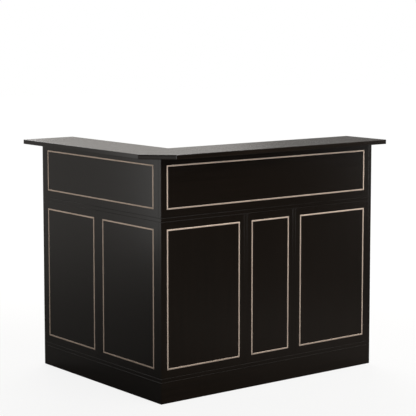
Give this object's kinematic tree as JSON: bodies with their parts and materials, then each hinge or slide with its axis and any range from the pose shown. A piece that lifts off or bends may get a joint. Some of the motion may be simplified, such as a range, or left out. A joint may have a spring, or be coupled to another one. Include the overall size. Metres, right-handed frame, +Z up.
{
  "type": "corner bar unit",
  "caption": "L-shaped corner bar with a raised ledge top, trim-framed outer panels, and open shelving, a bottle rack, a drawer and a two-door cupboard behind.",
  "frame": {"origin": "on the floor, under the middle of the bar top's outline", "axes": "+X along the long arm, away from the outer corner; +Y along the short arm, towards the bartender's side; +Z up"},
  "size_m": [1.308, 1.023, 1.06],
  "materials": {
    "black_board": "satin black lacquered board with a faint grain",
    "black_top": "satin black lacquered wood-grain top",
    "champagne_trim": "satin champagne anodised strip",
    "champagne_fitting": "satin champagne plated fittings",
    "drawer_board": "matt dark foil-wrapped drawer board",
    "zinc_steel": "zinc-plated sheet steel"
  },
  "bodies": {
    "carcass": {"plinth_long": "black_board", "plinth_short": "black_board", "kick_board_long": "black_board", "kick_board_short": "black_board", "bottom_board_long": "black_board", "bottom_board_short": "black_board", "corner_divider_long": "black_board", "corner_divider_short": "black_board", "bay_divider": "black_board", "worktop_long": "black_board", "worktop_short": "black_board", "drawer_deck": "black_board", "cupboard_shelf": "black_board", "short_arm_shelf": "black_board", "gable_long": "black_board", "gable_short": "black_board", "panel_long_left": "black_board", "panel_long_middle": "black_board", "panel_long_right": "black_board", "panel_short_near": "black_board", "panel_short_far": "black_board", "panel_upper_long": "black_board", "panel_upper_short": "black_board", "trim_long_left": "champagne_trim", "trim_long_middle": "champagne_trim", "trim_long_right": "champagne_trim", "trim_short_near": "champagne_trim", "trim_short_far": "champagne_trim", "trim_upper_long": "champagne_trim", "trim_upper_short": "champagne_trim", "bar_top_long": "black_top", "bar_top_short": "black_top", "mitre_plate": "zinc_steel", "rack_shelf_1": "black_board", "rack_shelf_2": "black_board", "rack_shelf_3": "black_board", "rack_shelf_4": "black_board", "rack_upright": "black_board", "runner_fixed_left": "zinc_steel", "runner_fixed_right": "zinc_steel", "hinge_fixed_left_lower": "champagne_fitting", "hinge_fixed_left_upper": "champagne_fitting", "hinge_fixed_right_lower": "champagne_fitting", "hinge_fixed_right_upper": "champagne_fitting"},
    "drawer": {"drawer_front": "black_board", "drawer_side_left": "drawer_board", "drawer_side_right": "drawer_board", "drawer_bottom": "drawer_board", "drawer_back": "drawer_board", "runner_drawer_left": "zinc_steel", "runner_drawer_right": "zinc_steel", "drawer_pull": "champagne_fitting"},
    "left_door": {"door_left": "black_board", "hinge_door_left_lower": "champagne_fitting", "hinge_door_left_upper": "champagne_fitting", "door_pull_left": "champagne_fitting"},
    "right_door": {"door_right": "black_board", "hinge_door_right_lower": "champagne_fitting", "hinge_door_right_upper": "champagne_fitting", "door_pull_right": "champagne_fitting"}
  },
  "joints": [
    {"name": "drawer_slide", "type": "slide", "parent": "carcass", "child": "drawer", "axis": [0, 1, 0], "range_m": [0, 0.3]},
    {"name": "left_door_hinge", "type": "hinge", "parent": "carcass", "child": "left_door", "pos_m": [0.19125, 0.0617, 0.35725], "axis": [0, 0, 1], "range_deg": [0, 165]},
    {"name": "right_door_hinge", "type": "hinge", "parent": "carcass", "child": "right_door", "pos_m": [0.63675, 0.0617, 0.35725], "axis": [0, 0, -1], "range_deg": [0, 165]}
  ]
}
